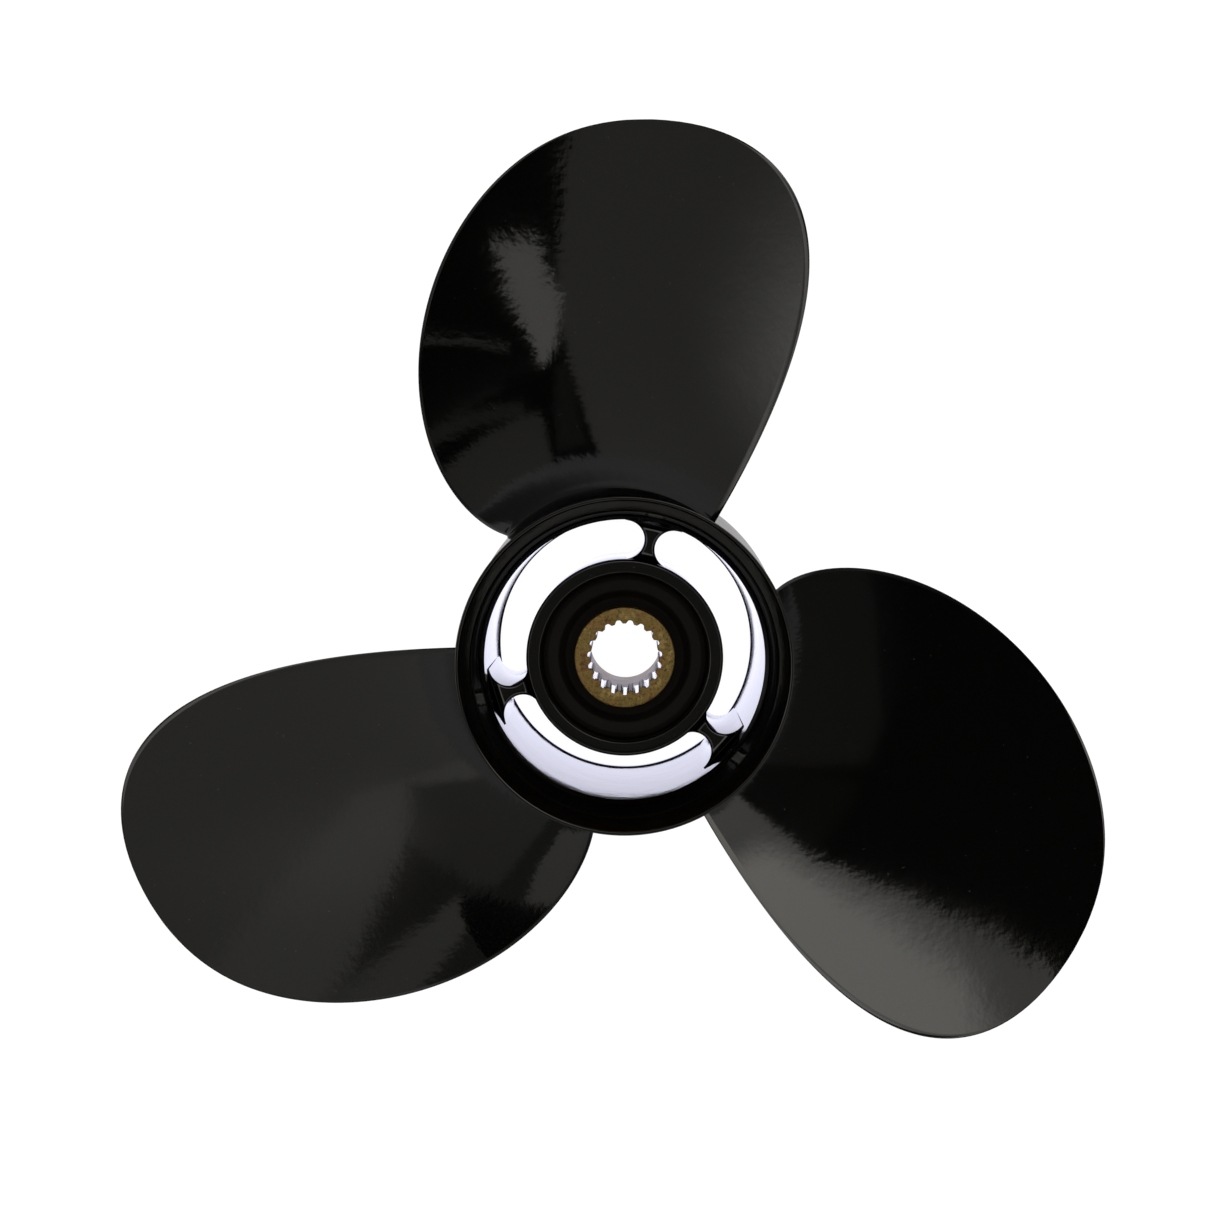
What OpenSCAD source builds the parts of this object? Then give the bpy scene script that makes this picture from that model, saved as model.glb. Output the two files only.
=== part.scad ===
// Three-bladed boat propeller with exhaust through the hub and a bonded rubber hub bush.
// +Z runs aft along the propeller shaft. The origin is the centre of the splined sleeve's
// front thrust face. Angles of the design are clockwise from +Y, seen from aft.

/* [Blades] */
// Number of blades
blade_count = 3; // [2:1:4]
// Distance from the axis to the blade tip
tip_radius = 179.3; // [165:0.1:190]
// Advance of the blade face in one turn
pitch = 400; // [340:5:430]
// Distance that the blade leans aft for each millimetre outwards
rake_slope = 0.36; // [0.1:0.01:0.4]
// Height of the blade face's middle line where it leaves the hub
blade_z = 44.3; // [43:0.1:48]
// Thickest point of the blade section at the hub
root_thickness = 9; // [6:0.5:11]
// Thickest point of the blade section at the tip
tip_thickness = 2.4; // [2:0.1:4]
// Thickness of the blade along its edges
edge_thickness = 1.2; // [0.8:0.1:1.6]

/* [Hub barrel] */
// Height of the aft lip
aft_z = 124; // [120:1:130]
// Depth of the front lip below the thrust face
front_depth = 10; // [9:0.5:14]
// Outer radius of the barrel at its front end
front_radius = 58.3; // [56:0.1:60]
// Outer radius of the barrel's neck, forward of the flare
neck_radius = 52; // [51:0.5:53]
// Outer radius of the flared aft lip
lip_radius = 54.9; // [54:0.1:57]
// Thickness of the flared lip
lip_thickness = 1.1; // [0.8:0.1:2]
// Inner radius of the barrel
barrel_bore_radius = 46.9; // [45:0.1:48]
// Length of the flare inside the aft end
flare_length = 31; // [20:1:34]

/* [Inner hub] */
// Outer radius of the inner hub
inner_hub_radius = 33.3; // [31:0.1:35]
// Height of the inner hub's aft end
inner_hub_aft_z = 83; // [80:1:88]
// Radius of the bore that holds the rubber bush
bush_seat_radius = 28.05; // [27:0.05:29]
// Radius of the opening in the front shoulder
shoulder_radius = 23; // [20:0.5:25]
// Thickness of the front shoulder
shoulder_thickness = 6; // [4:0.5:8]

/* [Ribs] */
// Number of ribs between the barrel and the inner hub
rib_count = 3; // [3:1:3]
// Angle of the first rib, clockwise from +Y
rib_angle = 12.5; // [0:0.5:30]
// Thickness of a rib at its narrowest
rib_thickness = 3.8; // [3:0.1:6]
// Height of the ribs' front ends
rib_front_z = 4; // [0:1:10]
// Height of the ribs' aft ends
rib_aft_z = 78; // [70:1:80]

/* [Sleeve and bush] */
// Outer radius of the splined sleeve
sleeve_radius = 17; // [16:0.1:18]
// Height of the sleeve's aft end
sleeve_aft_z = 82; // [78:1:84]
// Number of spline grooves
spline_count = 19; // [13:1:24]
// Radius at the floor of the spline grooves
spline_major_radius = 12.7; // [12.6:0.05:12.8]
// Radius at the tops of the spline teeth
spline_minor_radius = 11.5; // [11.3:0.05:11.6]
// Radius of the smooth pilot bore in front of the splines
pilot_radius = 13; // [13:0.05:13.4]
// Length of the smooth pilot bore, forward of the splines
pilot_length = 50; // [10:1:60]
// Gap between the rubber bush and its seat, on the radius
bush_clearance = 0.05; // [0.02:0.01:0.1]
// Height of the rubber bush's aft face
bush_aft_z = 77; // [74:1:80]
// Height of the rubber bush's front face
bush_front_z = 6; // [5:1:10]

/* [Hidden] */

paint = [0.03, 0.03, 0.035];
rubber = [0.07, 0.07, 0.07];
brass = [0.62, 0.52, 0.3];
round_fn = 96;
cut = 1;                                     // how far a cutting tool runs past a face

front_z = -front_depth;
flare_z = aft_z - flare_length;
neck_z = aft_z - 17;                         // the barrel is thinnest here
cone_aft_z = neck_z - 8;                     // the straight taper of the barrel ends here
lip_round = 2.2;                             // bevel round the front lip
front_bore_radius = barrel_bore_radius + 3;  // relieved mouth at the front
front_relief = 5;
bore_draft = 0.6;                            // narrowing of the barrel's bore towards the front

// Radius of the barrel's tapered outside at a height
function barrel_radius(z) = let (f = (z - front_z) / (cone_aft_z - front_z))
    front_radius + (neck_radius + 0.6 - front_radius) * f;

// Point of a curve set by its control values, for f from 0 to 1
function blend_values(v, f) = len(v) == 1 ? v[0] :
    blend_values([for (i = [0:len(v) - 2]) v[i] * (1 - f) + v[i + 1] * f], f);

// Control values of the blade outline, from the axis side to the tip
outline_radius = [50, 72.4, 152.6, tip_radius, tip_radius];
leading_angle = [-45.6, -67, -22.6, -16.9, 1.3];
trailing_angle = [33.4, 32.5, 27.4, 23, 1.3];

row_count = 26;                              // spans from root to tip
column_count = 16;                           // steps from leading to trailing edge
root_f = 0.066;                              // place on the outline where the blade meets the barrel
first_f = 0.1;                               // place of the first row outside the barrel
last_f = 0.985;                              // place of the row that closes the tip
root_gap = 0.12;                             // keeps the faceted root clear of the barrel
seam_gap = 0.05;                             // keeps the ribs' curved ends clear of their walls

function row_f(i) = i == 0 ? root_f : first_f + (last_f - first_f) * (i - 1) / (row_count - 1);
function face_z(r, angle) = blade_z + pitch * angle / 360 + rake_slope * (r - 50);

// Section thickness: thickest ahead of the middle, thinning to the edges and the tip
function section_thickness(r, s) = let (out = (r - 50) / (tip_radius - 50),
    thick = root_thickness + (tip_thickness - root_thickness) * pow(out, 0.8))
    edge_thickness + (thick - edge_thickness) * pow(4 * s * (1 - s), 0.75) * (1.15 - 0.3 * s);

// Point on the blade: s runs from leading to trailing edge, depth goes in from the face
function blade_point(i, s, back) = let (
    f = row_f(i),
    turn = blend_values(leading_angle, f) * (1 - s) + blend_values(trailing_angle, f) * s,
    curve_r = i == 0 ? barrel_radius(face_z(neck_radius, turn)) : blend_values(outline_radius, f),
    depth = back ? section_thickness(curve_r, s) : 0,
    slope = atan(pitch / (2 * PI * curve_r)),
    angle = turn + depth * sin(slope) / curve_r * 180 / PI,
    z = face_z(curve_r, turn) - depth * cos(slope),
    r = i == 0 ? barrel_radius(z) + root_gap : curve_r)
    [r * sin(angle), r * cos(angle), z];

module blade(number) {
    side = column_count + 1;
    ring = 2 * side;
    points = [for (i = [0:row_count], j = [0:ring - 1])
        j < side ? blade_point(i, j / column_count, false)
                 : blade_point(i, (ring - 1 - j) / column_count, true)];
    skin = [for (i = [0:row_count - 1], j = [0:ring - 1], half = [0, 1])
        let (a = i * ring + j, b = i * ring + (j + 1) % ring)
        half == 0 ? [a, b, b + ring] : [a, b + ring, a + ring]];
    root_cap = [for (j = [0:column_count - 1], half = [0, 1])
        half == 0 ? [j + 1, j, ring - 1 - j] : [j + 1, ring - 1 - j, ring - 2 - j]];
    top = row_count * ring;
    tip_cap = [for (j = [0:column_count - 1], half = [0, 1])
        half == 0 ? [top + j, top + j + 1, top + ring - 1 - j]
                  : [top + j + 1, top + ring - 2 - j, top + ring - 1 - j]];
    color(paint)
    rotate([0, 0, -number * 360 / blade_count])
    polyhedron(points, concat(skin, root_cap, tip_cap));
}

// Casting's outer tube, flared at the aft end, open at both ends
module hub_barrel() {
    outside = [[front_radius - lip_round, front_z], [barrel_radius(front_z + lip_round), front_z + lip_round],
               [barrel_radius(cone_aft_z), cone_aft_z], [neck_radius, neck_z - 2], [neck_radius, neck_z + 2],
               [neck_radius + 0.5, neck_z + 8], [lip_radius - 0.7, aft_z - 4], [lip_radius, aft_z - 1],
               [lip_radius, aft_z]];
    inside = [[lip_radius - lip_thickness, aft_z], [lip_radius - lip_thickness - 2.8, aft_z - 11.5],
              [barrel_bore_radius + 2.3, flare_z + 11], [barrel_bore_radius + 1.3, flare_z + 2.5],
              [barrel_bore_radius, flare_z],
              [barrel_bore_radius - bore_draft, rib_front_z], [barrel_bore_radius, front_z + front_relief + 3],
              [front_bore_radius, front_z + front_relief], [front_bore_radius, front_z]];
    color(paint)
    rotate_extrude($fn = round_fn)
    polygon(concat(outside, inside));
}

// Casting's inner tube, which grips the rubber bush
module inner_hub() {
    chamfer = 1;
    color(paint)
    rotate_extrude($fn = round_fn)
    polygon([[shoulder_radius, 0], [inner_hub_radius - 2, 0], [inner_hub_radius, 2],
             [inner_hub_radius, inner_hub_aft_z - chamfer], [inner_hub_radius - chamfer, inner_hub_aft_z],
             [bush_seat_radius + chamfer, inner_hub_aft_z], [bush_seat_radius, inner_hub_aft_z - chamfer],
             [bush_seat_radius, shoulder_thickness], [shoulder_radius, shoulder_thickness]]);
}

// Inner radius of the barrel at a height, with the slight draft of the casting
function bore_radius(z) = barrel_bore_radius - bore_draft * (flare_z - z) / (flare_z - rib_front_z);

// One wall between the inner hub and the barrel, with full-round passage ends beside it
module rib(number) {
    front_outer = bore_radius(rib_front_z);
    middle = (front_outer + inner_hub_radius) / 2;
    end_radius = (front_outer - inner_hub_radius) / 2;
    half_angle = asin((end_radius + rib_thickness / 2) / middle);
    height = rib_aft_z - rib_front_z;
    reach = 2 * barrel_bore_radius;
    color(paint)
    rotate([0, 0, -rib_angle - number * 360 / rib_count])
    translate([0, 0, rib_front_z])
    difference() {
        intersection() {
            rotate_extrude($fn = round_fn)
            polygon([[inner_hub_radius + seam_gap, 0], [front_outer - seam_gap, 0],
                     [bore_radius(rib_aft_z) - seam_gap, height], [inner_hub_radius + seam_gap, height]]);
            translate([0, 0, -cut])
            linear_extrude(height + 2 * cut)
            polygon([[0, 0], [-reach * sin(half_angle), reach * cos(half_angle)],
                     [reach * sin(half_angle), reach * cos(half_angle)]]);
        }
        for (side = [-1, 1])
            rotate([0, 0, side * half_angle])
            translate([0, middle, -cut])
            cylinder(r = end_radius, h = height + 2 * cut, $fn = 48);
    }
}

// Rubber bush bonded to the sleeve, with a groove moulded in its aft face
module rubber_bush() {
    outer = bush_seat_radius - bush_clearance;
    width = outer - sleeve_radius;
    color(rubber)
    rotate_extrude($fn = round_fn)
    polygon([[sleeve_radius, bush_front_z], [outer, bush_front_z], [outer, bush_aft_z - 1],
             [outer - 1, bush_aft_z], [sleeve_radius + width * 0.42, bush_aft_z],
             [sleeve_radius + width * 0.3, bush_aft_z - 3.5], [sleeve_radius, bush_aft_z - 4]]);
}

// One spline groove seen along the axis, centred on +Y
module spline_groove() {
    pitch_radius = (spline_major_radius + spline_minor_radius) / 2;
    half_width = PI * pitch_radius / (2 * spline_count);
    slope = tan(30);
    floor_half = half_width - (spline_major_radius + 0.3 - pitch_radius) * slope;
    mouth_half = half_width + (pitch_radius - spline_minor_radius + 0.3) * slope;
    polygon([[-mouth_half, spline_minor_radius - 0.3], [mouth_half, spline_minor_radius - 0.3],
             [floor_half, spline_major_radius + 0.3], [-floor_half, spline_major_radius + 0.3]]);
}

// Brass sleeve that slides on the propeller shaft
module spline_sleeve() {
    chamfer = 0.6;
    first_groove = 9;
    color(brass)
    difference() {
        rotate_extrude($fn = round_fn)
        polygon([[0, 0], [sleeve_radius - chamfer, 0], [sleeve_radius, chamfer],
                 [sleeve_radius, sleeve_aft_z - chamfer], [sleeve_radius - chamfer, sleeve_aft_z],
                 [0, sleeve_aft_z]]);
        translate([0, 0, -cut])
        cylinder(r = spline_minor_radius, h = sleeve_aft_z + 2 * cut, $fn = round_fn);
        translate([0, 0, -cut])
        cylinder(r = pilot_radius, h = pilot_length + cut, $fn = round_fn);
        translate([0, 0, pilot_length - cut])
        linear_extrude(sleeve_aft_z - pilot_length + 2 * cut)
        intersection() {
            circle(r = spline_major_radius, $fn = round_fn);
            for (i = [0:spline_count - 1])
                rotate([0, 0, -first_groove - i * 360 / spline_count])
                spline_groove();
        }
    }
}

hub_barrel();
inner_hub();
rib(0);  // rib_1
rib(1);  // rib_2
rib(2);  // rib_3
blade(0);  // blade_1
blade(1);  // blade_2
blade(2);  // blade_3
rubber_bush();
spline_sleeve();
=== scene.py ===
import functools
import math

import bpy
import numpy as np
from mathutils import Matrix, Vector


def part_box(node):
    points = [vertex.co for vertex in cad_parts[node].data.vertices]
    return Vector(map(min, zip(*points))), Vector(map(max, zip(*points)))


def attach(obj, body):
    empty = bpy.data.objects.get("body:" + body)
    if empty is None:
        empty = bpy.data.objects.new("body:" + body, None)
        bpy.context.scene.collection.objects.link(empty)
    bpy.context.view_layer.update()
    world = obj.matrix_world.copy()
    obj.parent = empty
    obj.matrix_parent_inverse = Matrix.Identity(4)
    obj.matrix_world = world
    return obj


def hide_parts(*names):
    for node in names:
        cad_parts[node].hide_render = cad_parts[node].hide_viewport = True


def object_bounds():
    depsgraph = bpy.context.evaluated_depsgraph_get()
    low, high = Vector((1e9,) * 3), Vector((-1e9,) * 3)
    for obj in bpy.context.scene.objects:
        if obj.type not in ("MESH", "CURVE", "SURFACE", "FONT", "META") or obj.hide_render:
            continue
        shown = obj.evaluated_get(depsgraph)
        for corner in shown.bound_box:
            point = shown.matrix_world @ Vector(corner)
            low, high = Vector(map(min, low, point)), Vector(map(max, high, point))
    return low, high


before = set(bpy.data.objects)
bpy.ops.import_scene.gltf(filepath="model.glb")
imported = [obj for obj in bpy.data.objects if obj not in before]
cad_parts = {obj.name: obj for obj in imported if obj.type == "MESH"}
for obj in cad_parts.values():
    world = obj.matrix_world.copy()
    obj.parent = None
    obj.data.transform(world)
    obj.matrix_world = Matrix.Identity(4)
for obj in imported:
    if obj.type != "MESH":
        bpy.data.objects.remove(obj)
cad_low, cad_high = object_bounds()

MM = 0.001

# ---- The propeller's design dimensions, in millimetres and degrees ------------------------------
# Angles run clockwise from +Y, seen from aft (from +Z).

TIP_RADIUS = 179.3
PITCH = 400.0
RAKE = 0.36                         # aft lean for each millimetre outwards
BLADE_Z = 44.3
ROOT_THICKNESS, TIP_THICKNESS, EDGE_THICKNESS = 9.0, 2.4, 1.2
EDGE_REACH = 2.1                    # how far the bevel of an edge reaches in from it
INNER_RADIUS = 50.0                 # where the outline, the rake and the taper in thickness begin
OUTLINE_RADIUS = (INNER_RADIUS, 72.4, 152.6, TIP_RADIUS, TIP_RADIUS)
LEADING_ANGLE = (-45.6, -67.0, -22.6, -16.9, 1.3)
TRAILING_ANGLE = (33.4, 32.5, 27.4, 23.0, 1.3)

FRONT_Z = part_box("hub_barrel")[0][2] / MM
AFT_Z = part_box("hub_barrel")[1][2] / MM
FRONT_RADIUS, NECK_RADIUS, LIP_RADIUS = 58.3, 52.0, 54.9
CONE_AFT_Z, NECK_Z, FLARE_Z = AFT_Z - 25.0, AFT_Z - 17.0, AFT_Z - 31.0
BORE_AFT, BORE_FRONT = 46.9, 46.3   # the barrel's bore, with its draft
HUB_RADIUS = 33.3
HUB_AFT_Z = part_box("inner_hub")[1][2] / MM
RIB_FRONT_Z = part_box("rib_1")[0][2] / MM
RIB_AFT_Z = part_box("rib_1")[1][2] / MM
RIB_ANGLE, RIB_THICKNESS = 12.5, 3.8
BUSH_RADIUS, BUSH_SEAT = 28.0, 28.05
BUSH_FRONT_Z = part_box("rubber_bush")[0][2] / MM
BUSH_AFT_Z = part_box("rubber_bush")[1][2] / MM
SLEEVE_RADIUS = 17.0
SLEEVE_AFT_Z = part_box("spline_sleeve")[1][2] / MM
SPLINES, SPLINE_MAJOR, SPLINE_MINOR, FIRST_GROOVE = 19, 12.7, 11.5, 9.0
PILOT_RADIUS, PILOT_LENGTH = 13.0, 50.0
SHOULDER_RADIUS, SHOULDER_Z = 23.0, 6.0          # the opening in the inner hub's front wall
ROOT_RADIUS = NECK_RADIUS + 3.0     # where a blade's own helix begins, inside its fillet
FILLET_LOW, FILLET_SWELL = (0.7, 0.6), (4.0, 3.5)   # height and width at the edges, gain amidships


# ---- Camera -------------------------------------------------------------------------------------

CAMERA_DISTANCE = 0.860             # metres from the aft lip


def make_camera():
    """Looks down the hub from aft, a little above its axis, as a product photograph does."""
    data = bpy.data.cameras.new("camera")
    data.sensor_width = 36.0
    data.lens = 79.3
    camera = bpy.data.objects.new("camera", data)
    bpy.context.scene.collection.objects.link(camera)
    camera.location = (0.003, 0.064, AFT_Z * MM + CAMERA_DISTANCE)
    camera.rotation_euler = (math.radians(-2.976), math.radians(0.57), 0.0)
    data.clip_start, data.clip_end = 0.01, 20.0
    bpy.context.scene.camera = camera


make_camera()


# ---- Materials ----------------------------------------------------------------------------------

def new_material(name):
    mat = bpy.data.materials.new(name)
    mat.use_nodes = True
    return mat, mat.node_tree.nodes, mat.node_tree.links, mat.node_tree.nodes["Principled BSDF"]


def noise(nodes, links, scale, detail=2.0, rough=0.5):
    coords = nodes.new("ShaderNodeTexCoord")
    tex = nodes.new("ShaderNodeTexNoise")
    tex.inputs["Scale"].default_value = scale
    tex.inputs["Detail"].default_value = detail
    tex.inputs["Roughness"].default_value = rough
    links.new(coords.outputs["Object"], tex.inputs["Vector"])
    return tex


def grey(value):
    return value, value, value


def math_node(nodes, links, operation, *values):
    """The result of a Math node. Each value may be a number or a socket."""
    node = nodes.new("ShaderNodeMath")
    node.operation = operation
    for socket, value in zip(node.inputs, values):
        if isinstance(value, float):
            socket.default_value = value
        else:
            links.new(value, socket)
    return node.outputs["Value"]


def distance_from_axis(nodes, links, coords):
    """How far a point is from the shaft's axis, in metres."""
    flat = nodes.new("ShaderNodeVectorMath")
    flat.operation = "MULTIPLY"
    flat.inputs[1].default_value = (1.0, 1.0, 0.0)
    links.new(coords.outputs["Object"], flat.inputs[0])
    radius = nodes.new("ShaderNodeVectorMath")
    radius.operation = "LENGTH"
    links.new(flat.outputs["Vector"], radius.inputs[0])
    return radius.outputs["Value"]


def ramp(nodes, links, source, stops):
    """A colour ramp. Each stop is a place and a colour, or a place and a grey."""
    node = nodes.new("ShaderNodeValToRGB")
    while len(node.color_ramp.elements) < len(stops):
        node.color_ramp.elements.new(0.5)
    for element, (place, colour) in zip(node.color_ramp.elements, stops):
        element.position = place
        element.color = (*(grey(colour) if isinstance(colour, float) else colour), 1.0)
    links.new(source, node.inputs["Fac"])
    return node


def blend(nodes, links, low, high, factor):
    """A colour that goes from low to high with the factor. Each may be a value or a socket."""
    node = nodes.new("ShaderNodeMix")
    node.data_type = "RGBA"
    for socket, value in (("A", low), ("B", high)):
        if isinstance(value, tuple):
            node.inputs[socket].default_value = (*value, 1.0)
        else:
            links.new(value, node.inputs[socket])
    links.new(factor, node.inputs["Factor"])
    return node.outputs["Result"]


def bump(nodes, links, height, distance, normal=None):
    node = nodes.new("ShaderNodeBump")
    node.inputs["Distance"].default_value = distance
    links.new(height, node.inputs["Height"])
    if normal is not None:
        links.new(normal, node.inputs["Normal"])
    return node.outputs["Normal"]


def paint_material():
    """Gloss black enamel with orange peel, faint clouding and a few specks of dust."""
    mat, nodes, links, shader = new_material("gloss_black_paint")
    peel = noise(nodes, links, scale=420.0, detail=1.5)
    waves = noise(nodes, links, scale=45.0)
    fine = bump(nodes, links, peel.outputs["Fac"], distance=0.02 * MM)
    rolling = bump(nodes, links, waves.outputs["Fac"], distance=0.1 * MM, normal=fine)
    links.new(rolling, shader.inputs["Normal"])
    cloud = noise(nodes, links, scale=30.0, detail=4.0)
    rough = ramp(nodes, links, cloud.outputs["Fac"], [(0.3, 0.05), (0.7, 0.09)])
    links.new(rough.outputs["Color"], shader.inputs["Roughness"])
    dust = noise(nodes, links, scale=900.0, detail=1.0)
    colour = ramp(nodes, links, dust.outputs["Fac"],
                  [(0.0, (0.0012, 0.0011, 0.001)), (0.76, (0.0016, 0.0015, 0.0014)),
                   (0.82, (0.03, 0.03, 0.029))])
    links.new(colour.outputs["Color"], shader.inputs["Base Color"])
    return mat


def rubber_material():
    """Matt black rubber with a fine moulded grain and faint brown clouding."""
    mat, nodes, links, shader = new_material("moulded_rubber")
    grain = noise(nodes, links, scale=1200.0, detail=3.0)
    links.new(bump(nodes, links, grain.outputs["Fac"], distance=0.04 * MM), shader.inputs["Normal"])
    cloud = noise(nodes, links, scale=120.0, detail=3.0)
    colour = ramp(nodes, links, cloud.outputs["Fac"],
                  [(0.3, (0.0012, 0.0004, 0.0002)), (0.75, (0.0028, 0.0014, 0.0009))])
    links.new(colour.outputs["Color"], shader.inputs["Base Color"])
    shader.inputs["Roughness"].default_value = 0.7
    shader.inputs["Specular IOR Level"].default_value = 0.15
    return mat


def smooth_groove_and_painted_highlight_mask(nodes, links):
    """1 in the broached spline grooves, which lie between two radii below the aft face. There the brass is
    made smoother and given a painted highlight, a near-white colour.
    """
    coords = nodes.new("ShaderNodeTexCoord")
    full = 20.0                                   # the radius in millimetres that fills the ramp
    radius = distance_from_axis(nodes, links, coords)
    part = math_node(nodes, links, "MULTIPLY", radius, 1.0 / (full * MM))
    between = ramp(nodes, links, part, [
        ((SPLINE_MINOR + 0.3) / full, 0.0), ((SPLINE_MINOR + 0.7) / full, 1.0),
        ((SPLINE_MAJOR + 0.05) / full, 1.0), ((SPLINE_MAJOR + 0.15) / full, 0.0)])
    place = nodes.new("ShaderNodeSeparateXYZ")
    links.new(coords.outputs["Object"], place.inputs["Vector"])
    below = math_node(nodes, links, "LESS_THAN", place.outputs["Z"], (SLEEVE_AFT_Z - 0.25) * MM)
    return math_node(nodes, links, "MULTIPLY", between.outputs["Color"], below)


def brass_material():
    """Dull machined brass with brown and olive stains and dark pits; smoother in the grooves, where a
    painted highlight turns the colour near-white.
    """
    mat, nodes, links, shader = new_material("dull_brass")
    stain = noise(nodes, links, scale=190.0, detail=6.0, rough=0.65)
    colour = ramp(nodes, links, stain.outputs["Fac"],
                  [(0.36, (0.06, 0.03, 0.01)), (0.46, (0.175, 0.102, 0.031)), (0.56, (0.13, 0.092, 0.024)),
                   (0.66, (0.27, 0.18, 0.064))])
    pits = noise(nodes, links, scale=1300.0, detail=3.0, rough=0.7)
    dark = ramp(nodes, links, pits.outputs["Fac"], [(0.32, 0.3), (0.5, 1.0)])
    mix = nodes.new("ShaderNodeMix")
    mix.data_type, mix.blend_type = "RGBA", "MULTIPLY"
    mix.inputs["Factor"].default_value = 1.0
    links.new(colour.outputs["Color"], mix.inputs["A"])
    links.new(dark.outputs["Color"], mix.inputs["B"])
    shader.inputs["Metallic"].default_value = 0.8
    rough = ramp(nodes, links, stain.outputs["Fac"], [(0.3, 0.36), (0.7, 0.52)])
    groove = smooth_groove_and_painted_highlight_mask(nodes, links)
    smooth = blend(nodes, links, rough.outputs["Color"], grey(0.14), groove)
    links.new(smooth, shader.inputs["Roughness"])
    # Painted highlight: the grooves' colour is blended to near-white, standing in for their bright look.
    pale = blend(nodes, links, mix.outputs["Result"], (0.96, 0.94, 0.92), groove)
    links.new(pale, shader.inputs["Base Color"])
    links.new(bump(nodes, links, pits.outputs["Fac"], distance=0.08 * MM), shader.inputs["Normal"])
    return mat


PAINT, RUBBER, BRASS = paint_material(), rubber_material(), brass_material()


# ---- Mesh helpers -------------------------------------------------------------------------------

def add_piece(name, points, faces, material, body, nodes, sharp=38.0):
    """Makes a mesh object from points in millimetres, shaded smooth but for edges above sharp."""
    mesh = bpy.data.meshes.new(name)
    mesh.from_pydata([tuple(p) for p in np.asarray(points) * MM], [], faces)
    mesh.validate()
    mesh.materials.append(material)
    piece = bpy.data.objects.new(name, mesh)
    bpy.context.scene.collection.objects.link(piece)
    mesh.shade_smooth()
    mesh.set_sharp_from_angle(angle=math.radians(sharp))
    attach(piece, body)
    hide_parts(*nodes)
    return piece


def grid_faces(rows, columns, wrap_rows=False):
    """Quads of a grid of rows by columns of points, each row a closed ring."""
    faces = []
    for i in range(rows if wrap_rows else rows - 1):
        for j in range(columns):
            k = (j + 1) % columns
            n = (i + 1) % rows
            faces.append((i * columns + j, i * columns + k, n * columns + k, n * columns + j))
    return faces


def fillet_path(corners, steps=6):
    """A closed outline of (x, y, fillet radius) corners, with an arc of points at each fillet."""
    out = []
    count = len(corners)
    for i, (x, y, radius) in enumerate(corners):
        here = np.array((x, y))
        before = np.array(corners[i - 1][:2]) - here
        after = np.array(corners[(i + 1) % count][:2]) - here
        if radius <= 0:
            out.append(here)
            continue
        a, b = before / np.linalg.norm(before), after / np.linalg.norm(after)
        half = math.acos(max(-1.0, min(1.0, float(a @ b)))) / 2
        reach = radius / math.tan(half)
        centre = here + (a + b) / np.linalg.norm(a + b) * radius / math.sin(half)
        start, end = here + a * reach - centre, here + b * reach - centre
        for s in np.linspace(0, 1, steps):
            mix = start * (1 - s) + end * s
            out.append(centre + mix / np.linalg.norm(mix) * radius)
    return np.array(out)


def revolve(outline, segments=256):
    """Points and faces of a closed (radius, height) outline turned round the axis."""
    turn = np.linspace(0, 2 * math.pi, segments, endpoint=False)
    points = [(r * math.sin(t), r * math.cos(t), z) for r, z in outline for t in turn]
    return points, grid_faces(len(outline), segments, wrap_rows=True)


def barrel_radius(z):
    """The barrel's outside radius on its straight taper."""
    return FRONT_RADIUS + (NECK_RADIUS + 0.6 - FRONT_RADIUS) * (z - FRONT_Z) / (CONE_AFT_Z - FRONT_Z)


# ---- The casting --------------------------------------------------------------------------------

def make_barrel():
    """The tapered barrel with its flared lip, whose inside steps down to the passages' bore."""
    front_bore = BORE_AFT + 3.0
    outline = fillet_path([
        (FRONT_RADIUS - 0.2, FRONT_Z, 2.0), (barrel_radius(CONE_AFT_Z), CONE_AFT_Z, 30.0),
        (NECK_RADIUS, NECK_Z, 12.0), (LIP_RADIUS - 0.6, AFT_Z - 4.0, 6.0), (LIP_RADIUS, AFT_Z, 0.35),
        (LIP_RADIUS - 1.1, AFT_Z, 0.35), (LIP_RADIUS - 1.8, AFT_Z - 2.6, 1.5),
        (50.7, AFT_Z - 11.2, 8.0), (50.3, AFT_Z - 12.4, 0.3), (49.9, AFT_Z - 12.8, 0.3),
        (49.2, AFT_Z - 20.0, 8.0), (48.2, AFT_Z - 28.5, 2.0), (BORE_AFT, FLARE_Z, 0.8),
        (BORE_FRONT, RIB_FRONT_Z, 0.0), (BORE_FRONT + 0.1, RIB_FRONT_Z - 2.0, 0.1),
        (BORE_FRONT - 0.35, RIB_FRONT_Z - 2.3, 0.15), (BORE_FRONT - 0.2, FRONT_Z + 7.0, 0.5),
        (front_bore, FRONT_Z + 5.0, 0.8), (front_bore, FRONT_Z, 0.6)], steps=8)
    points, faces = revolve(outline)
    return add_piece("barrel_shell", points, faces, PAINT, "casting", ["hub_barrel"])


def make_inner_hub():
    """The tube round the bush, with a wall that the bush rests on at its front end."""
    outline = fillet_path([
        (HUB_RADIUS, 0.0, 2.0), (HUB_RADIUS, HUB_AFT_Z, 0.9), (BUSH_SEAT + 0.9, HUB_AFT_Z, 0.3),
        (BUSH_SEAT, HUB_AFT_Z - 1.0, 0.2), (BUSH_SEAT, SHOULDER_Z, 0.4),
        (SHOULDER_RADIUS, SHOULDER_Z, 0.4), (SHOULDER_RADIUS, 0.0, 0.8)])
    points, faces = revolve(outline)
    return add_piece("inner_hub_tube", points, faces, PAINT, "casting", ["inner_hub"])


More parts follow.
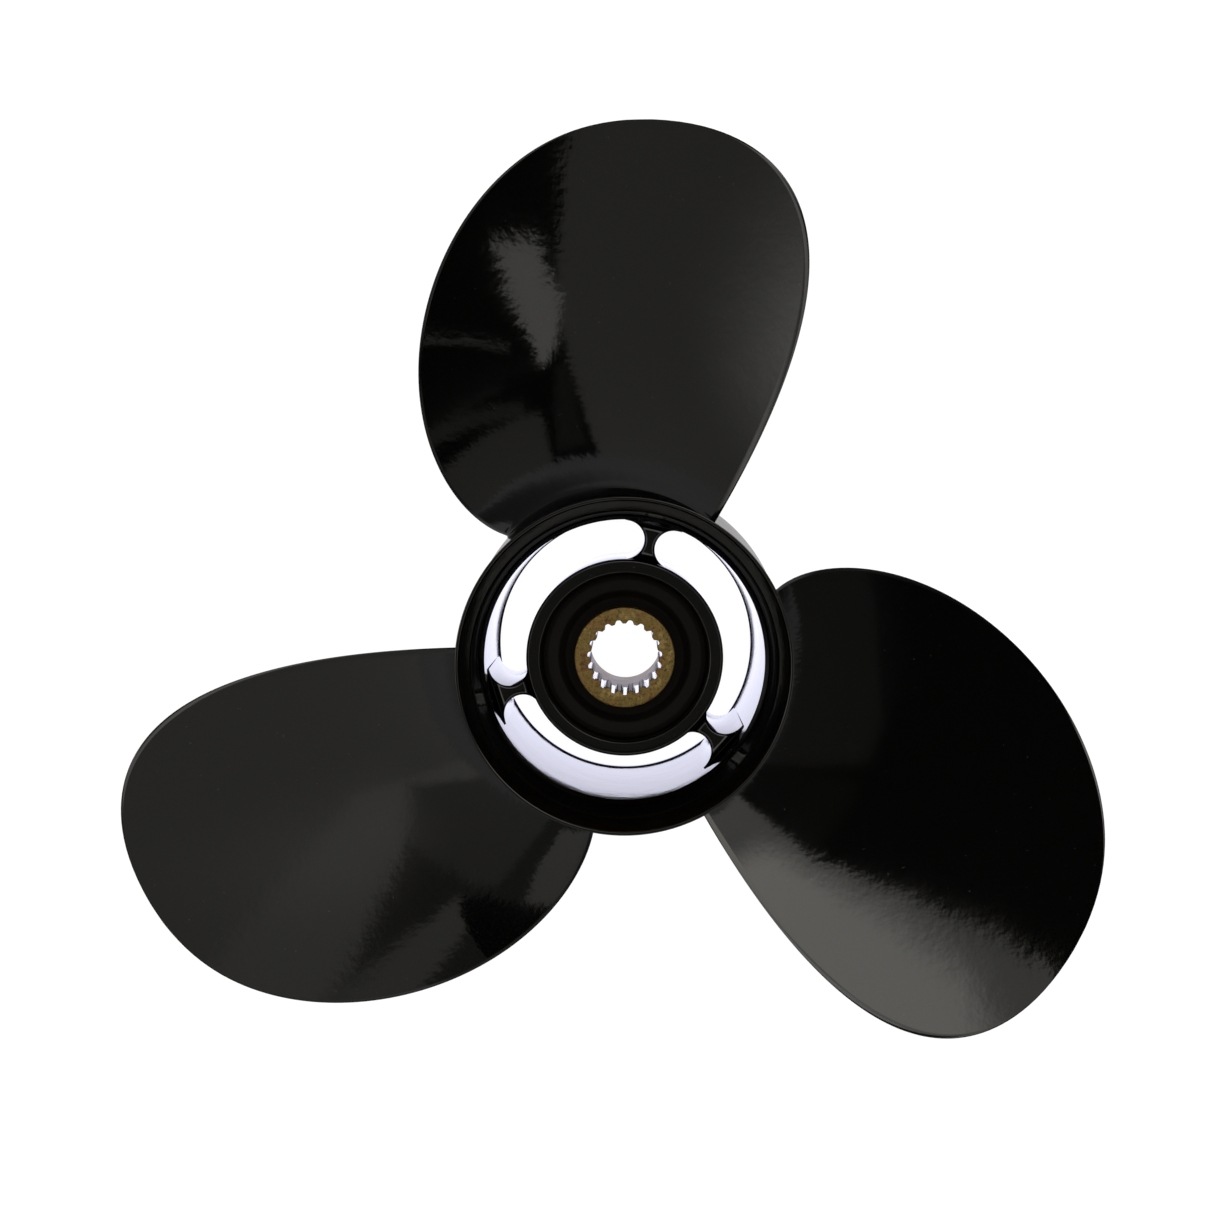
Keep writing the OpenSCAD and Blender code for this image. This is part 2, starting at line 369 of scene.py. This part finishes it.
def make_rib(number):
    """A wall whose sides are the round ends of the two passages beside it."""
    middle, end = (BORE_FRONT + HUB_RADIUS) / 2, (BORE_FRONT - HUB_RADIUS) / 2
    spread = math.asin((end + RIB_THICKNESS / 2) / middle)
    turn = math.radians(RIB_ANGLE + 120.0 * number)
    edge, root = 1.0, 2.5                         # rounding of the rib's ends, fillet to the walls
    first, last = HUB_RADIUS - 0.1, BORE_FRONT + 0.4     # both ends sink into their walls
    points = []
    rows = np.linspace(0, 1, 33)
    for f in rows:
        rho = first + (last - first) * (1 - math.cos(math.pi * f)) / 2
        inside = max(-1.0, min(1.0, (rho ** 2 + middle ** 2 - end ** 2) / (2 * rho * middle)))
        side = (spread - math.acos(inside)) * rho
        wall = min(max(rho - HUB_RADIUS, 0.0), max(BORE_FRONT - rho, 0.0))
        lift = root - math.sqrt(root ** 2 - (root - wall) ** 2) if wall < root else 0.0
        top, bottom = RIB_AFT_Z - root + lift, RIB_FRONT_Z + root - lift
        ring = []
        for corner, (sx, sz) in enumerate([(1, -1), (1, 1), (-1, 1), (-1, -1)]):
            for a in np.linspace(0, math.pi / 2, 6):
                angle = a + (corner - 1) * math.pi / 2
                x = sx * (side - edge) + edge * math.cos(angle)
                z = (top - edge if sz > 0 else bottom + edge) + edge * math.sin(angle)
                ring.append((x, z))
        for x, z in ring:
            bearing = turn + x / rho
            points.append((rho * math.sin(bearing), rho * math.cos(bearing), z))
    count = len(ring)
    faces = grid_faces(len(rows), count)
    faces += [tuple(range(count))[::-1], tuple(range((len(rows) - 1) * count, len(rows) * count))]
    return add_piece(f"rib_wall_{number + 1}", points, faces, PAINT, "casting",
                     [f"rib_{number + 1}"])


def blend_values(values, f):
    """The point at f of the curve that these control values set."""
    values = list(values)
    while len(values) > 1:
        values = [a * (1 - f) + b * f for a, b in zip(values, values[1:])]
    return values[0]


HALVINGS = 40


def outline_at(radius):
    """Leading and trailing angles of the blade at a radius, found by halving on its outline."""
    low, high = 0.0, 1.0
    for _ in range(HALVINGS):
        f = (low + high) / 2
        if blend_values(OUTLINE_RADIUS, f) < radius:
            low = f
        else:
            high = f
    return blend_values(LEADING_ANGLE, f), blend_values(TRAILING_ANGLE, f)


SIDE_STEPS, ROUND_STEPS = 56, 7
FILLET_STEPS, SPAN_STEPS = 13, 72


def section(radius, leading, trailing):
    """Closed section at a radius: angle and height of each point, with its outward direction.

    The first half runs along the face from the leading to the trailing edge, and the second
    half comes back along the back. Both edges have a bevel that ends in a rounded nose."""
    slope = math.atan(PITCH / (2 * math.pi * radius))
    chord = math.radians(trailing - leading) * radius / math.cos(slope)
    out = min(max((radius - INNER_RADIUS) / (TIP_RADIUS - INNER_RADIUS), 0.0), 1.0)
    thick = ROOT_THICKNESS + (TIP_THICKNESS - ROOT_THICKNESS) * out ** 0.8
    most = chord * 0.24                           # leaves a face between the bevels near the tip
    nose, reach = min(EDGE_THICKNESS / 2, most), min(EDGE_REACH, most)
    bend = np.linspace(0, math.pi / 2, ROUND_STEPS, endpoint=False)
    ends = reach * (1 - np.cos(bend))
    span = reach + (chord - 2 * reach) * (1 - np.cos(np.linspace(0, math.pi, SIDE_STEPS))) / 2
    x = np.concatenate([ends, span, chord - ends[::-1]])
    s = x / chord
    near = np.minimum(x, chord - x)
    inset = 1 - np.minimum(near / reach, 1.0)
    cap = nose * (0.5 * inset + 0.5 * (1 - np.sqrt(1 - inset ** 2)))
    # Thickest a little nearer to the leading edge.
    depth = 2 * nose + (thick - 2 * nose) * (4 * s * (1 - s)) ** 0.75 * (1.15 - 0.3 * s)
    face, back = cap, depth - cap
    u = np.concatenate([x, x[::-1]])
    v = np.concatenate([face, back[::-1]])
    du, dv = np.roll(u, -1) - np.roll(u, 1), np.roll(v, -1) - np.roll(v, 1)
    size = np.hypot(du, dv) + 1e-9
    nu, nv = dv / size, -du / size
    arc = u * math.cos(slope) + v * math.sin(slope)
    rise = u * math.sin(slope) - v * math.cos(slope)
    out_arc = nu * math.cos(slope) + nv * math.sin(slope)
    out_rise = nu * math.sin(slope) - nv * math.cos(slope)
    base = BLADE_Z + PITCH * leading / 360 + RAKE * (radius - INNER_RADIUS)
    angle, along = math.radians(leading) + arc / radius, np.concatenate([s, s[::-1]])
    return angle, base + rise, out_arc, out_rise, along


@functools.lru_cache(maxsize=None)
def section_at(radius):
    return section(radius, *outline_at(radius))


def make_blade(number):
    """A helical blade, blended into the barrel by a fillet that is deep amidships."""
    start = math.radians(120.0 * number)
    half = SIDE_STEPS + 2 * ROUND_STEPS
    count = 2 * half
    _, _, _, _, s = section(60.0, *outline_at(NECK_RADIUS + 4.0))
    swell = (4 * s * (1 - s)) ** 0.6
    top, width = (low + swell * gain for low, gain in zip(FILLET_LOW, FILLET_SWELL))
    points = []
    for tau in np.linspace(math.pi / 2, 0, FILLET_STEPS):
        sunk = 0.0 if points else 0.3             # the first row lies inside the barrel's wall
        lift = top * (1 - math.sin(tau)) - sunk
        offset = width * (1 - math.cos(tau))
        for j in range(count):
            radius = ROOT_RADIUS + lift[j]
            angle, z, out_arc, out_rise, _ = section_at(radius)
            height = z[j] + out_rise[j] * offset[j]
            bearing = start + angle[j] + out_arc[j] * offset[j] / radius
            r = barrel_radius(height) + lift[j]
            points.append((r * math.sin(bearing), r * math.cos(bearing), height))
    for f in np.linspace(0, 1, SPAN_STEPS)[1:]:
        ease = 1 - (1 - f) ** 1.6
        for j in range(count):
            first = ROOT_RADIUS + top[j]
            radius = first + (TIP_RADIUS - 0.1 - first) * ease
            angle, z, _, _, _ = section_at(radius)
            bearing = start + angle[j]
            # The root's own radius follows the barrel, and that shift fades out along the blade.
            r = radius + (barrel_radius(z[j]) - ROOT_RADIUS) * (1 - ease) ** 3
            points.append((r * math.sin(bearing), r * math.cos(bearing), z[j]))
    total = len(points) // count
    faces = grid_faces(total, count)
    last = (total - 1) * count
    faces += [(last + j, last + j + 1, last + count - 2 - j, last + count - 1 - j)
              for j in range(half - 1)]
    faces += [(j + 1, j, count - 1 - j, count - 2 - j) for j in range(half - 1)]
    return add_piece(f"blade_{number + 1}_shape", points, faces, PAINT, "casting",
                     [f"blade_{number + 1}"], sharp=60.0)


# ---- The core: rubber bush and splined sleeve ---------------------------------------------------

def make_bush():
    """The rubber bush, with a moulded groove round the sleeve in its aft face."""
    width = BUSH_RADIUS - SLEEVE_RADIUS
    outline = fillet_path([
        (SLEEVE_RADIUS, BUSH_FRONT_Z, 0.0), (BUSH_RADIUS, BUSH_FRONT_Z, 0.8),
        (BUSH_RADIUS, BUSH_AFT_Z - 0.6, 0.8), (BUSH_RADIUS - 2.0, BUSH_AFT_Z, 1.0),
        (SLEEVE_RADIUS + width * 0.5, BUSH_AFT_Z, 1.2),
        (SLEEVE_RADIUS + width * 0.3, BUSH_AFT_Z - 3.4, 1.2),
        (SLEEVE_RADIUS, BUSH_AFT_Z - 4.0, 0.0)])
    points, faces = revolve(outline, 192)
    return add_piece("rubber_bush_body", points, faces, RUBBER, "core", ["rubber_bush"])


def spline_contour():
    """Bearing and radius of points round the splined bore, with slightly rounded corners."""
    pitch_radius = (SPLINE_MAJOR + SPLINE_MINOR) / 2
    half = math.pi * pitch_radius / (2 * SPLINES)
    lean = math.tan(math.radians(30))
    floor_half = half - (SPLINE_MAJOR - pitch_radius) * lean
    mouth_half = half + (pitch_radius - SPLINE_MINOR) * lean
    tooth_half = math.pi * SPLINE_MINOR / SPLINES - mouth_half
    tooth = np.linspace(0, 1, 4, endpoint=False)
    corner = [(mouth_half, SPLINE_MINOR + 0.03),
              (mouth_half * 0.86 + floor_half * 0.14, SPLINE_MINOR + 0.2),
              (floor_half * 0.8 + mouth_half * 0.2, SPLINE_MAJOR - 0.3),
              (floor_half * 0.85, SPLINE_MAJOR - 0.06),
              (floor_half * 0.4, SPLINE_MAJOR)]
    one = [(-mouth_half - tooth_half * (1 - f), SPLINE_MINOR) for f in tooth]
    one += [(-x, r) for x, r in corner]
    one += corner[::-1]
    one += [(mouth_half + tooth_half * (f + 0.1), SPLINE_MINOR) for f in tooth]
    grooves = [math.radians(FIRST_GROOVE + k * 360 / SPLINES) for k in range(SPLINES)]
    return [(groove + x / r, r) for groove in grooves for x, r in one]


def make_sleeve():
    """The brass sleeve: chamfered outside, splined from its aft face down to the smooth pilot."""
    contour = spline_contour()
    bearings = [b for b, _ in contour]
    chamfer, rounding, ease = 0.5, 0.15, 0.4
    face_radius = (SPLINE_MAJOR + SLEEVE_RADIUS) / 2 - 0.25

    def circle(radius, z):
        return [(radius * math.sin(b), radius * math.cos(b), z) for b in bearings]

    def splined(z, widen=0.0):
        return [((r + widen) * math.sin(b), (r + widen) * math.cos(b), z) for b, r in contour]

    rings = [circle(PILOT_RADIUS + ease, 0.0), circle(SLEEVE_RADIUS - chamfer, 0.0),
             circle(SLEEVE_RADIUS, chamfer), circle(SLEEVE_RADIUS, SLEEVE_AFT_Z - chamfer),
             circle(SLEEVE_RADIUS - rounding, SLEEVE_AFT_Z - rounding),
             circle(SLEEVE_RADIUS - chamfer, SLEEVE_AFT_Z), circle(face_radius, SLEEVE_AFT_Z),
             splined(SLEEVE_AFT_Z, 0.18), splined(SLEEVE_AFT_Z - 0.2), splined(SLEEVE_AFT_Z - 6.0),
             splined(PILOT_LENGTH + 6.0), splined(PILOT_LENGTH + ease),
             circle(PILOT_RADIUS, PILOT_LENGTH), circle(PILOT_RADIUS, ease)]
    points = [p for ring in rings for p in ring]
    faces = grid_faces(len(rings), len(contour), wrap_rows=True)
    return add_piece("spline_sleeve_body", points, faces, BRASS, "core",
                     ["spline_sleeve"], sharp=30.0)


make_barrel()
make_inner_hub()
for rib_number in range(3):
    make_rib(rib_number)
for blade_number in range(3):
    make_blade(blade_number)
make_bush()
make_sleeve()


# ---- Stage: pale floor, soft cards and a dim room -----------------------------------------------

WHITE = 1.0
FLOOR_HALF, FLOOR_GAP = 3.0, 0.0002

# What the floor shows to reflections: its light under the hub, in a ring round it, under the
# blades and far off, and the distances from the axis, in metres, at which these meet.
FLOOR_UNDER_HUB = (1.25, 1.25, 1.5)
FLOOR_RING, FLOOR_NEAR, FLOOR_FAR = 0.45, 0.08, 0.32
POOL_END, RING_START, RING_END, NEAR_START, NEAR_END, FAR_START = 0.052, 0.058, 0.066, 0.076, 0.25, 0.6

# The room's own dim light, and what the camera sees beyond the floor.
ROOM, BACKDROP = 0.01, 0.95
ROOM_TINT = (1.0, 0.98, 0.92)

# Cards: radiance, softness of the edges, and the corners, clockwise, of a convex patch. The softness
# and the corners' bearings and elevations are in degrees, and a bearing is clockwise from +Y.
CARDS = [
    # A pale wall ahead and to the right, with a soft glow in it.
    (0.85, 1.2, [(37.0, 0.0), (27.0, 20.0), (66.0, 20.0), (66.0, -10.0), (42.0, -10.0)]),
    (0.85, 1.2, [(27.0, 20.0), (2.0, 46.0), (-5.0, 60.0), (66.0, 60.0), (66.0, 20.0)]),
    (1.6, 9.0, [(36.0, 12.0), (24.0, 25.0), (10.0, 43.0), (16.0, 52.0), (60.0, 52.0), (60.0, 12.0)]),
    # Low dim strips straight ahead.
    (0.085, 4.0, [(-55.0, -10.0), (-55.0, 21.0), (2.0, 21.0), (24.0, 0.0), (26.0, -10.0)]),
    (0.03, 2.0, [(26.0, -2.0), (6.0, 21.0), (24.0, 21.0), (36.0, -2.0)]),
    # A wall on the right, from abeam to behind, with dimmer and brighter panels in it.
    (0.42, 3.0, [(130.0, 12.0), (118.0, 20.0), (103.0, 38.0), (92.0, 60.0), (178.0, 60.0), (178.0, 12.0)]),
    (0.42, 3.0, [(120.0, -10.0), (130.0, 12.0), (178.0, 12.0), (178.0, -10.0)]),
    (0.16, 15.0, [(118.0, 15.0), (111.0, 32.0), (126.0, 38.0), (134.0, 14.0)]),
    (0.12, 3.0, [(84.0, -10.0), (84.0, 60.0), (100.0, 60.0), (132.0, 20.0), (132.0, -10.0)]),
    (0.32, 2.0, [(105.0, 21.0), (97.0, 26.0), (95.0, 33.0), (95.0, 60.0), (103.0, 60.0), (103.0, 38.0),
                 (117.0, 20.0)]),
    (0.13, 2.5, [(98.0, -8.0), (98.0, 20.0), (118.0, 20.0), (130.0, 12.0), (122.0, -8.0)]),
    (0.4, 1.2, [(78.0, 4.0), (80.0, 22.0), (90.5, 21.0), (93.0, 14.0), (93.0, 4.0)]),
    # A wall on the left, with a soft glow high in it.
    (0.34, 1.2, [(-114.0, -10.0), (-125.0, 12.0), (-130.0, 22.0), (-134.0, 38.0), (-135.0, 60.0),
                 (-75.0, 60.0), (-75.0, -10.0)]),
    (1.7, 30.0, [(-86.0, 18.0), (-104.0, 36.0), (-98.0, 60.0), (-66.0, 60.0), (-66.0, 18.0)]),
    # A bright patch, two thin strips and a dim panel behind on the left.
    (1.1, 1.0, [(-133.5, 19.0), (-138.0, 26.0), (-142.0, 34.0), (-136.0, 33.5), (-131.0, 27.0),
                (-131.0, 21.5)]),
    (0.3, 1.2, [(-155.0, 26.8), (-155.0, 28.9), (-140.0, 23.0), (-140.0, 21.0)]),
    (0.24, 1.5, [(-162.0, -10.0), (-162.0, 17.0), (-138.0, 12.0), (-134.0, 12.0), (-132.0, -4.0)]),
    (0.16, 1.5, [(-162.0, 17.0), (-162.0, 19.8), (-138.0, 14.0), (-138.0, 12.0)]),
    # Overhead: a dim cap and a bright band round it.
    (0.12, 4.0, [(-210.0, 79.0), (-210.0, 95.0), (210.0, 95.0), (210.0, 79.0)]),
    (1.5, 8.0, [(-210.0, 56.0), (-210.0, 74.0), (210.0, 74.0), (210.0, 56.0)]),
    # A dim strip at the edge of the left wall.
    (0.07, 2.0, [(-131.0, 2.0), (-131.0, 19.0), (-129.0, 19.0), (-122.0, 2.0)]),
]


def make_floor():
    """White to the camera. Reflections see it bright under the hub and dim round that."""
    mesh = bpy.data.meshes.new("floor")
    corners = [(-FLOOR_HALF, -FLOOR_HALF), (FLOOR_HALF, -FLOOR_HALF), (FLOOR_HALF, FLOOR_HALF),
               (-FLOOR_HALF, FLOOR_HALF)]
    mesh.from_pydata([(x, y, cad_low[2] - FLOOR_GAP) for x, y in corners], [], [(0, 1, 2, 3)])
    floor = bpy.data.objects.new("floor", mesh)
    bpy.context.scene.collection.objects.link(floor)
    mat, nodes, links, shader = new_material("pale_floor")
    shader.inputs["Base Color"].default_value = (*grey(0.06), 1.0)
    shader.inputs["Roughness"].default_value = 0.9
    shader.inputs["Specular IOR Level"].default_value = 0.0
    coords = nodes.new("ShaderNodeTexCoord")
    spread = nodes.new("ShaderNodeVectorMath")
    spread.operation = "LENGTH"
    links.new(coords.outputs["Object"], spread.inputs[0])
    pool = ramp(nodes, links, spread.outputs["Value"], [
        (POOL_END, FLOOR_UNDER_HUB), (RING_START, FLOOR_RING), (RING_END, FLOOR_RING),
        (NEAR_START, FLOOR_NEAR), (NEAR_END, FLOOR_NEAR), (FAR_START, FLOOR_FAR)])
    path = nodes.new("ShaderNodeLightPath")
    second = math_node(nodes, links, "GREATER_THAN", path.outputs["Ray Depth"], 1.5)
    bounced = blend(nodes, links, pool.outputs["Color"], grey(FLOOR_NEAR), second)
    glow = blend(nodes, links, bounced, grey(WHITE), path.outputs["Is Camera Ray"])
    links.new(glow, shader.inputs["Emission Color"])
    shader.inputs["Emission Strength"].default_value = 1.0
    mesh.materials.append(mat)


def make_world():
    """A dim studio of far-off cards, which the camera sees as a plain pale backdrop."""
    world = bpy.data.worlds.new("studio")
    bpy.context.scene.world = world
    world.use_nodes = True
    world.cycles.sampling_method = "NONE"
    nodes, links = world.node_tree.nodes, world.node_tree.links
    coords = nodes.new("ShaderNodeTexCoord")
    parts = nodes.new("ShaderNodeSeparateXYZ")
    links.new(coords.outputs["Generated"], parts.inputs["Vector"])
    place = nodes.new("ShaderNodeCombineXYZ")
    bearing = math_node(nodes, links, "ARCTAN2", parts.outputs["X"], parts.outputs["Y"])
    elevation = math_node(nodes, links, "ARCSINE", parts.outputs["Z"])
    links.new(math_node(nodes, links, "DEGREES", bearing), place.inputs["X"])
    links.new(math_node(nodes, links, "DEGREES", elevation), place.inputs["Y"])
    place.inputs["Z"].default_value = 1.0

    total = math_node(nodes, links, "ADD", ROOM, 0.0)
    for radiance, soft, corners in CARDS:
        patch = None
        for (b0, e0), (b1, e1) in zip(corners, corners[1:] + corners[:1]):
            size = math.hypot(b1 - b0, e1 - e0) * soft
            across, up = (e1 - e0) / size, (b0 - b1) / size
            inside = nodes.new("ShaderNodeVectorMath")
            inside.operation = "DOT_PRODUCT"
            links.new(place.outputs["Vector"], inside.inputs[0])
            inside.inputs[1].default_value = (across, up, 0.5 - across * b0 - up * e0)
            edge = nodes.new("ShaderNodeMapRange")
            edge.interpolation_type = "SMOOTHSTEP"
            links.new(inside.outputs["Value"], edge.inputs["Value"])
            side = edge.outputs["Result"]
            patch = side if patch is None else math_node(nodes, links, "MULTIPLY", patch, side)
        light = math_node(nodes, links, "MULTIPLY", patch, radiance)
        total = math_node(nodes, links, "ADD", total, light)
    tint = nodes.new("ShaderNodeVectorMath")
    tint.operation = "SCALE"
    tint.inputs[0].default_value = ROOM_TINT
    links.new(total, tint.inputs["Scale"])
    path = nodes.new("ShaderNodeLightPath")
    seen = path.outputs["Is Camera Ray"]
    colour = blend(nodes, links, tint.outputs["Vector"], grey(BACKDROP), seen)
    links.new(colour, nodes["Background"].inputs["Color"])


def add_panel(name, bearing, elevation, distance, width, height, radiance):
    """A soft rectangular light that faces the hub. Its bearing is clockwise from +Y."""
    data = bpy.data.lights.new(name, "AREA")
    data.shape = "RECTANGLE"
    data.size, data.size_y = width, height
    data.energy = radiance * math.pi * width * height
    lamp = bpy.data.objects.new(name, data)
    bpy.context.scene.collection.objects.link(lamp)
    b, e = math.radians(bearing), math.radians(elevation)
    place = np.array((math.sin(b) * math.cos(e), math.cos(b) * math.cos(e), math.sin(e))) * distance
    lamp.location = place
    lamp.rotation_euler = Vector(-place).to_track_quat("-Z", "Y").to_euler()


make_floor()
make_world()
add_panel("panel_top", bearing=0, elevation=72, distance=1.6, width=0.6, height=0.6, radiance=0.8)
bpy.context.scene.view_settings.view_transform = "Standard"
